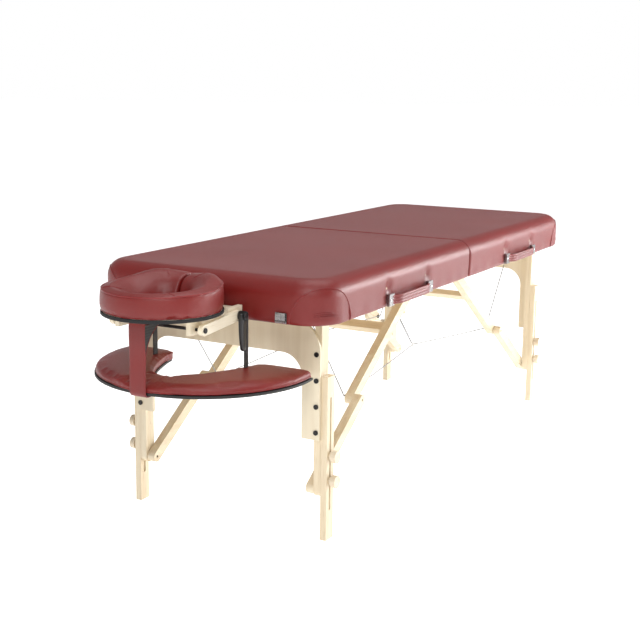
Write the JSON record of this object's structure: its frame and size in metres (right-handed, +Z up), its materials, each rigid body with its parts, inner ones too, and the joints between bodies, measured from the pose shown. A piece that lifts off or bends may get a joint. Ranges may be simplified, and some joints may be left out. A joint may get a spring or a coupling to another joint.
{
  "type": "portable massage table",
  "caption": "Folding padded massage table in two halves on braced, height-adjustable wooden legs, with a face cradle and a hanging arm shelf.",
  "frame": {"origin": "on the floor, under the middle of the whole object's box", "axes": "+X along the table from the face cradle to the foot end, +Y across to the side with no handles, +Z up"},
  "size_m": [2.174, 0.732, 0.697],
  "materials": {
    "cover_leather": "burgundy leather-look cover, satin",
    "beech": "pale beech, clear satin lacquer",
    "panel_ply": "cream lacquered plywood, satin",
    "deck_ply": "bare birch plywood",
    "knob_wood": "turned beech knobs, satin",
    "black_bolt": "black oxide bolts, satin",
    "zinc_steel": "zinc plated steel",
    "bright_chrome": "polished chrome",
    "cable_steel": "thin steel cable, clear sleeve",
    "black_lever": "black moulded levers, satin",
    "strap_vinyl": "burgundy vinyl straps, satin",
    "black_webbing": "black woven webbing"
  },
  "bodies": {
    "head_half": {"head_cables": "cable_steel", "head_deck": "deck_ply", "head_end_rail": "beech", "head_handle": "strap_vinyl", "head_handle_caps": "bright_chrome", "head_hinge_leaves": "zinc_steel", "head_pad": "cover_leather", "head_pivot_blocks": "beech", "head_pivot_bolts": "black_bolt", "head_rails": "beech", "latch_plates": "bright_chrome"},
    "foot_half": {"foot_cables": "cable_steel", "foot_deck": "deck_ply", "foot_end_rail": "beech", "foot_handle": "strap_vinyl", "foot_handle_caps": "bright_chrome", "foot_hinge_leaves": "zinc_steel", "foot_pad": "cover_leather", "foot_pivot_blocks": "beech", "foot_pivot_bolts": "black_bolt", "foot_rails": "beech", "latch_catches": "bright_chrome"},
    "shelf_pad": {"arm_shelf": "cover_leather"},
    "cam_lever_left_part": {"cam_lever_left": "black_lever"},
    "cam_lever_right_part": {"cam_lever_right": "black_lever"},
    "cradle_arms": {"cradle_bars": "beech", "cradle_rod": "black_bolt"},
    "cradle_frame": {"cradle_base": "beech"},
    "cradle_top": {"cradle_cushion": "cover_leather", "cradle_platform": "panel_ply"},
    "foot_leg_set": {"foot_arch_panel": "panel_ply", "foot_leg_bolts": "black_bolt", "foot_upper_legs": "beech"},
    "foot_upper_brace": {"foot_crossbar": "beech", "foot_elbow_bolts": "black_bolt", "foot_upper_struts": "beech"},
    "foot_left_lower_knob_part": {"foot_left_lower_knob": "knob_wood"},
    "foot_left_lower_leg_part": {"foot_left_lower_leg": "beech"},
    "foot_left_upper_knob_part": {"foot_left_upper_knob": "knob_wood"},
    "foot_lower_brace": {"foot_lower_struts": "beech"},
    "foot_right_lower_knob_part": {"foot_right_lower_knob": "knob_wood"},
    "foot_right_lower_leg_part": {"foot_right_lower_leg": "beech"},
    "foot_right_upper_knob_part": {"foot_right_upper_knob": "knob_wood"},
    "head_leg_set": {"head_arch_panel": "panel_ply", "head_leg_bolts": "black_bolt", "head_upper_legs": "beech"},
    "head_upper_brace": {"head_crossbar": "beech", "head_elbow_bolts": "black_bolt", "head_upper_struts": "beech"},
    "head_left_lower_knob_part": {"head_left_lower_knob": "knob_wood"},
    "head_left_lower_leg_part": {"head_left_lower_leg": "beech"},
    "head_left_upper_knob_part": {"head_left_upper_knob": "knob_wood"},
    "head_lower_brace": {"head_lower_struts": "beech"},
    "head_right_lower_knob_part": {"head_right_lower_knob": "knob_wood"},
    "head_right_lower_leg_part": {"head_right_lower_leg": "beech"},
    "head_right_upper_knob_part": {"head_right_upper_knob": "knob_wood"},
    "latch_lever_left_part": {"latch_lever_left": "bright_chrome"},
    "latch_lever_right_part": {"latch_lever_right": "bright_chrome"},
    "shelf_hanger": {"shelf_front_strap": "strap_vinyl", "shelf_rear_straps": "black_webbing"}
  },
  "joints": [
    {"name": "table_fold", "type": "hinge", "parent": "head_half", "child": "foot_half", "pos_m": [0.158, 0.011, 0.581], "axis": [0, 1, 0], "range_deg": [0, 90]},
    {"name": "head_leg_fold", "type": "hinge", "parent": "head_half", "child": "head_leg_set", "pos_m": [-0.642, 0.011, 0.608], "axis": [0, -1, 0], "range_deg": [0, 90], "deforming": ["head_cables"]},
    {"name": "head_upper_brace_turn", "type": "hinge", "parent": "head_half", "child": "head_upper_brace", "pos_m": [0.053, 0.011, 0.608], "axis": [0, 1, 0], "range_deg": [0, 35.9]},
    {"name": "head_lower_brace_turn", "type": "hinge", "parent": "head_leg_set", "child": "head_lower_brace", "pos_m": [-0.642, 0.011, 0.132], "axis": [0, -1, 0], "range_deg": [0, 56.1]},
    {"name": "head_right_height_slide", "type": "slide", "parent": "head_leg_set", "child": "head_right_lower_leg_part", "axis": [0, 0, -1], "range_m": [-0.0762, 0.1524]},
    {"name": "head_right_lower_knob_turn", "type": "hinge", "parent": "head_leg_set", "child": "head_right_lower_knob_part", "pos_m": [-0.642, -0.295, 0.1595], "axis": [0, -1, 0], "continuous": true},
    {"name": "head_right_upper_knob_turn", "type": "hinge", "parent": "head_leg_set", "child": "head_right_upper_knob_part", "pos_m": [-0.642, -0.295, 0.2256], "axis": [0, -1, 0], "continuous": true},
    {"name": "head_left_height_slide", "type": "slide", "parent": "head_leg_set", "child": "head_left_lower_leg_part", "axis": [0, 0, -1], "range_m": [-0.0762, 0.1524]},
    {"name": "head_left_lower_knob_turn", "type": "hinge", "parent": "head_leg_set", "child": "head_left_lower_knob_part", "pos_m": [-0.642, 0.317, 0.1595], "axis": [0, 1, 0], "continuous": true},
    {"name": "head_left_upper_knob_turn", "type": "hinge", "parent": "head_leg_set", "child": "head_left_upper_knob_part", "pos_m": [-0.642, 0.317, 0.2256], "axis": [0, 1, 0], "continuous": true},
    {"name": "foot_leg_fold", "type": "hinge", "parent": "foot_half", "child": "foot_leg_set", "pos_m": [0.958, 0.011, 0.608], "axis": [0, 1, 0], "range_deg": [0, 90], "deforming": ["foot_cables"]},
    {"name": "foot_upper_brace_turn", "type": "hinge", "parent": "foot_half", "child": "foot_upper_brace", "pos_m": [0.263, 0.011, 0.608], "axis": [0, -1, 0], "range_deg": [0, 35.9]},
    {"name": "foot_lower_brace_turn", "type": "hinge", "parent": "foot_leg_set", "child": "foot_lower_brace", "pos_m": [0.958, 0.011, 0.132], "axis": [0, 1, 0], "range_deg": [0, 56.1]},
    {"name": "foot_right_height_slide", "type": "slide", "parent": "foot_leg_set", "child": "foot_right_lower_leg_part", "axis": [0, 0, -1], "range_m": [-0.0762, 0.1524]},
    {"name": "foot_right_lower_knob_turn", "type": "hinge", "parent": "foot_leg_set", "child": "foot_right_lower_knob_part", "pos_m": [0.958, -0.295, 0.1595], "axis": [0, -1, 0], "continuous": true},
    {"name": "foot_right_upper_knob_turn", "type": "hinge", "parent": "foot_leg_set", "child": "foot_right_upper_knob_part", "pos_m": [0.958, -0.295, 0.2256], "axis": [0, -1, 0], "continuous": true},
    {"name": "foot_left_height_slide", "type": "slide", "parent": "foot_leg_set", "child": "foot_left_lower_leg_part", "axis": [0, 0, -1], "range_m": [-0.0762, 0.1524]},
    {"name": "foot_left_lower_knob_turn", "type": "hinge", "parent": "foot_leg_set", "child": "foot_left_lower_knob_part", "pos_m": [0.958, 0.317, 0.1595], "axis": [0, 1, 0], "continuous": true},
    {"name": "foot_left_upper_knob_turn", "type": "hinge", "parent": "foot_leg_set", "child": "foot_left_upper_knob_part", "pos_m": [0.958, 0.317, 0.2256], "axis": [0, 1, 0], "continuous": true},
    {"name": "cradle_slide", "type": "slide", "parent": "head_half", "child": "cradle_frame", "axis": [-1, 0, 0], "range_m": [0, 0.08]},
    {"name": "cradle_height", "type": "hinge", "parent": "cradle_frame", "child": "cradle_arms", "pos_m": [-0.807, 0.011, 0.604], "axis": [0, 1, 0], "range_deg": [-15, 4]},
    {"name": "cradle_tilt", "type": "hinge", "parent": "cradle_arms", "child": "cradle_top", "pos_m": [-0.957, 0.011, 0.592], "axis": [0, -1, 0], "range_deg": [0, 25]},
    {"name": "shelf_level", "type": "hinge", "parent": "cradle_arms", "child": "shelf_hanger", "pos_m": [-0.957, 0.011, 0.592], "axis": [0, 1, 0], "range_deg": [-15, 15]},
    {"name": "shelf_height", "type": "slide", "parent": "shelf_hanger", "child": "shelf_pad", "axis": [0, 0, 1], "range_m": [-0.05, 0.03], "deforming": ["shelf_front_strap", "shelf_rear_straps"]},
    {"name": "cam_lever_right_turn", "type": "hinge", "parent": "cradle_frame", "child": "cam_lever_right_part", "pos_m": [-0.807, -0.139, 0.604], "axis": [0, 1, 0], "range_deg": [0, 95]},
    {"name": "latch_lever_right_turn", "type": "hinge", "parent": "head_half", "child": "latch_lever_right_part", "pos_m": [-0.7721, -0.22, 0.593], "axis": [0, -1, 0], "range_deg": [0, 100]},
    {"name": "cam_lever_left_turn", "type": "hinge", "parent": "cradle_frame", "child": "cam_lever_left_part", "pos_m": [-0.807, 0.161, 0.604], "axis": [0, 1, 0], "range_deg": [0, 95]},
    {"name": "latch_lever_left_turn", "type": "hinge", "parent": "head_half", "child": "latch_lever_left_part", "pos_m": [-0.7721, 0.242, 0.593], "axis": [0, -1, 0], "range_deg": [0, 100]}
  ],
  "couplings": [
    {"joint": "head_upper_brace_turn", "follows": "head_leg_fold", "ratio": 0.39452},
    {"joint": "head_lower_brace_turn", "follows": "head_leg_fold", "ratio": 0.6177},
    {"joint": "foot_upper_brace_turn", "follows": "foot_leg_fold", "ratio": 0.39452},
    {"joint": "foot_lower_brace_turn", "follows": "foot_leg_fold", "ratio": 0.6177},
    {"joint": "shelf_level", "follows": "cradle_height", "ratio": -1}
  ]
}
